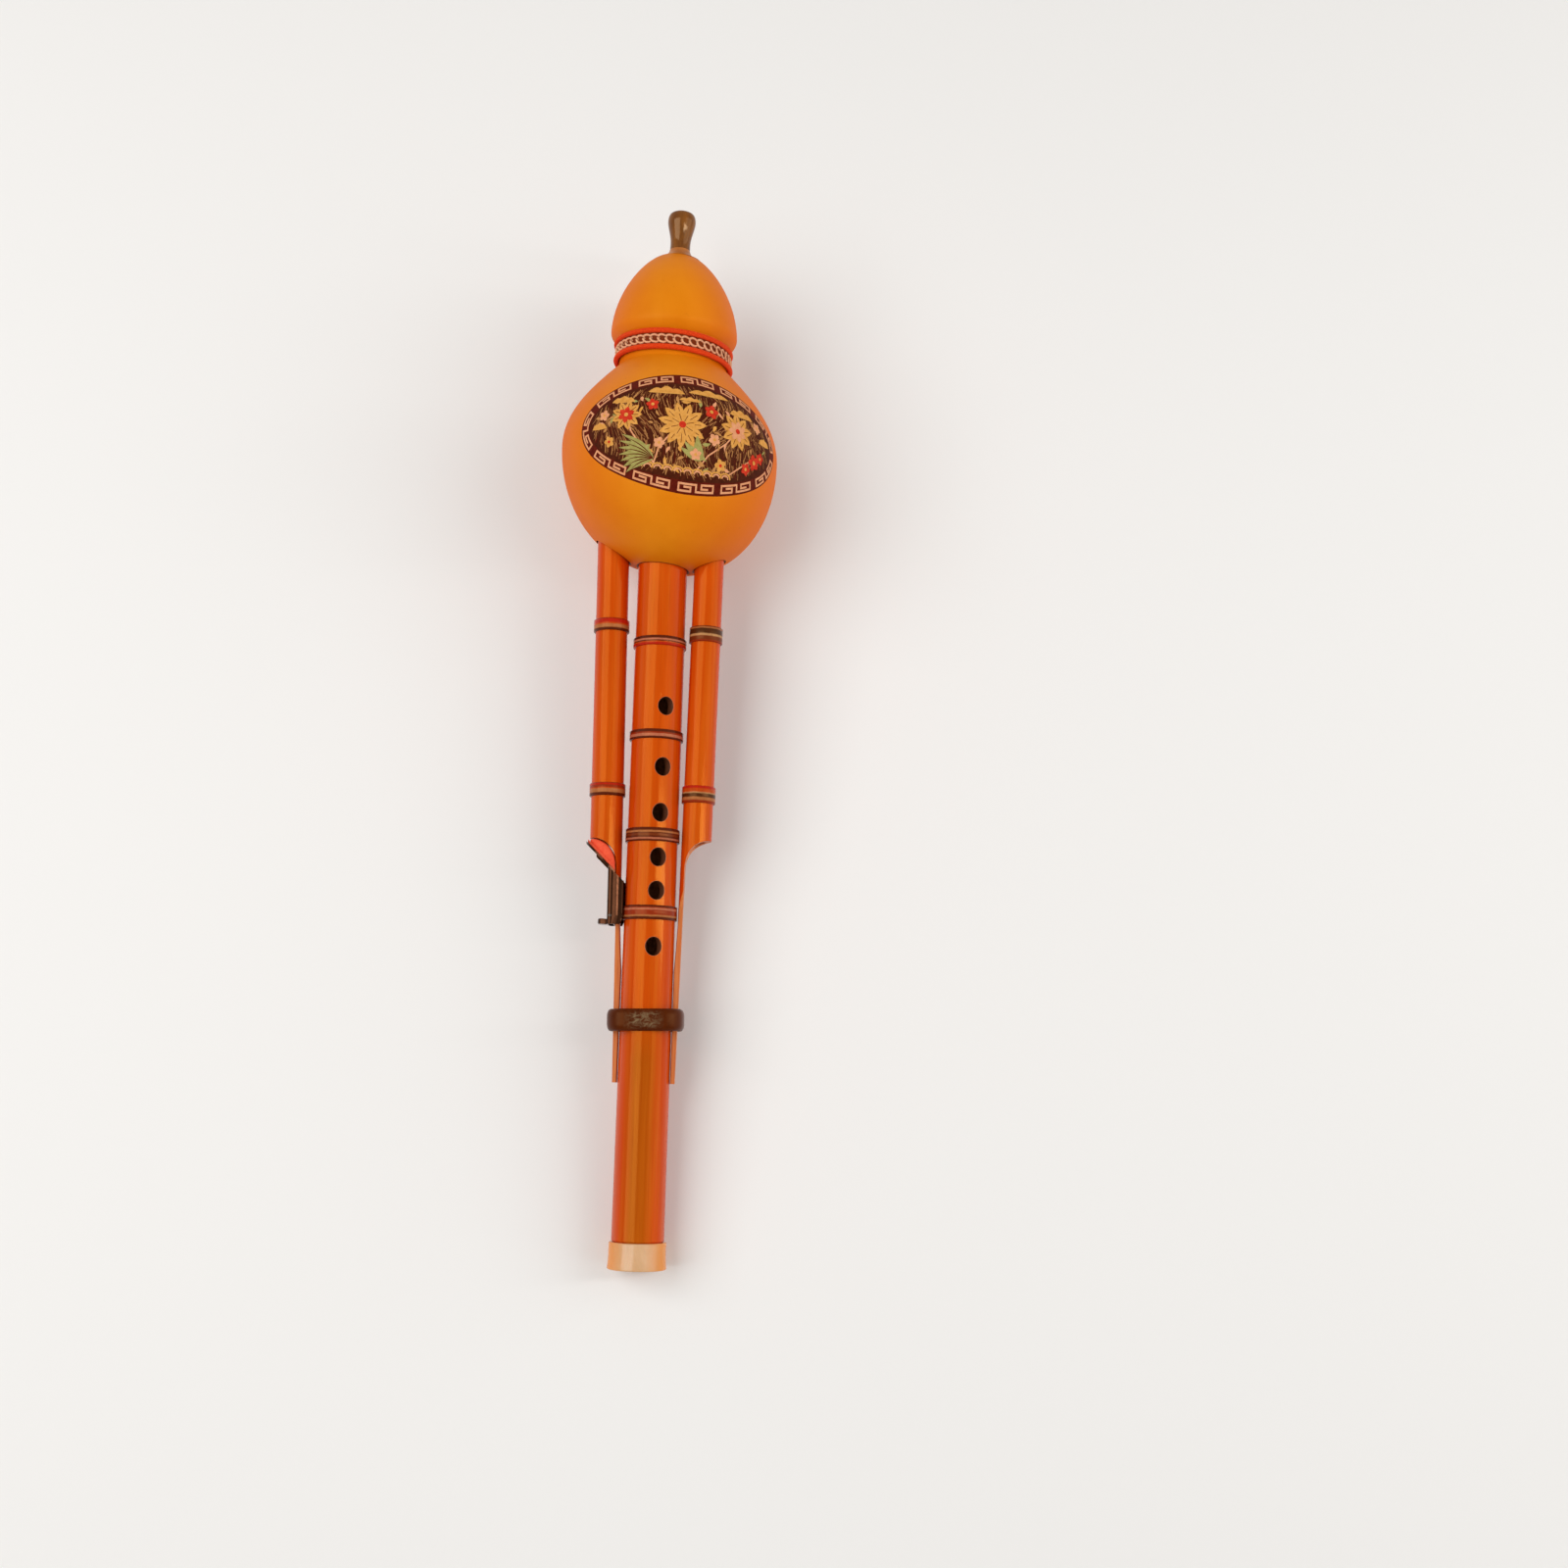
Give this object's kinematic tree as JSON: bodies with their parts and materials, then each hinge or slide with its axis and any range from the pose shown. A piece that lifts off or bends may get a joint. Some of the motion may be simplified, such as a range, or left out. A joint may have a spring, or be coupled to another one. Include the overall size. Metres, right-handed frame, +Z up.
{
  "type": "hulusi",
  "caption": "Free-reed flute with a gourd wind chamber, a fingered melody pipe between scooped drone pipes, a sprung drone key, club-shaped mouthpiece, clasp ring and banded lacquered bamboo.",
  "frame": {"origin": "centre of the box at its base: the ground plane that the gourd's back and the foot ferrule's edge rest on", "axes": "+Y from the foot towards the mouthpiece (the pipe rises 5.5 degrees that way), +Z up, out of the side with the finger holes, +X to the side away from the key"},
  "size_m": [0.0854, 0.4194, 0.0819],
  "materials": {
    "gourd_skin": "amber lacquered gourd skin, satin",
    "beeswax": "brown beeswax, dull",
    "red_cord": "twisted red cord",
    "pale_chain": "pale silky cord loops",
    "brown_horn": "polished translucent brown horn",
    "amber_glue": "set amber glue, glossy",
    "lacquered_bamboo": "orange-brown lacquered bamboo, glossy",
    "cork": "plain cork",
    "line_band": "lacquered dark line band",
    "brass": "filed brass sheet",
    "milky_ring": "polished milky translucent ring",
    "dark_horn": "polished mottled dark horn",
    "black_nickel": "black nickel plate, glossy",
    "steel": "plain steel",
    "red_pad": "soft salmon-red pad"
  },
  "bodies": {
    "body": {"gourd": "gourd_skin", "gourd_seal_main": "beeswax", "gourd_seal_left": "beeswax", "gourd_seal_right": "beeswax", "waist_cord_lower": "red_cord", "waist_chain": "pale_chain", "waist_cord_upper": "red_cord", "mouthpiece": "brown_horn", "mouthpiece_seal": "amber_glue", "main_pipe": "lacquered_bamboo", "main_pipe_plug": "cork", "main_pipe_band_1": "line_band", "main_pipe_band_2": "line_band", "main_pipe_band_3": "line_band", "main_pipe_band_4": "line_band", "main_reed_plate": "brass", "foot_ferrule": "milky_ring", "clasp_ring": "dark_horn", "left_drone": "lacquered_bamboo", "left_drone_plug": "cork", "left_drone_band_1": "line_band", "left_drone_band_2": "line_band", "left_reed_plate": "brass", "right_drone": "lacquered_bamboo", "right_drone_plug": "cork", "right_drone_band_1": "line_band", "right_drone_band_2": "line_band", "key_saddle": "black_nickel", "key_pin": "steel"},
    "key": {"key_lever": "black_nickel", "key_pad": "red_pad", "key_spring": "steel"},
    "main_tongue": {"main_reed_tongue": "brass"},
    "left_tongue": {"left_reed_tongue": "brass"}
  },
  "joints": [
    {"name": "drone_key", "type": "hinge", "parent": "body", "child": "key", "pos_m": [-0.01591, -0.07775, 0.02354], "axis": [0, -0.0953, 0.9954], "range_deg": [0, 22], "stiffness_Nm_per_rad": 0.01, "springref_deg": -28.65},
    {"name": "main_reed_flex", "type": "hinge", "parent": "body", "child": "main_tongue", "pos_m": [-0.0011, 0.07963, 0.04738], "axis": [1, 0, 0], "range_deg": [-4, 4], "stiffness_Nm_per_rad": 0.0003},
    {"name": "left_reed_flex", "type": "hinge", "parent": "body", "child": "left_tongue", "pos_m": [-0.02102, 0.08047, 0.04456], "axis": [0.9999, 0.0156, 0.0015], "range_deg": [-4, 4], "stiffness_Nm_per_rad": 0.0001}
  ]
}
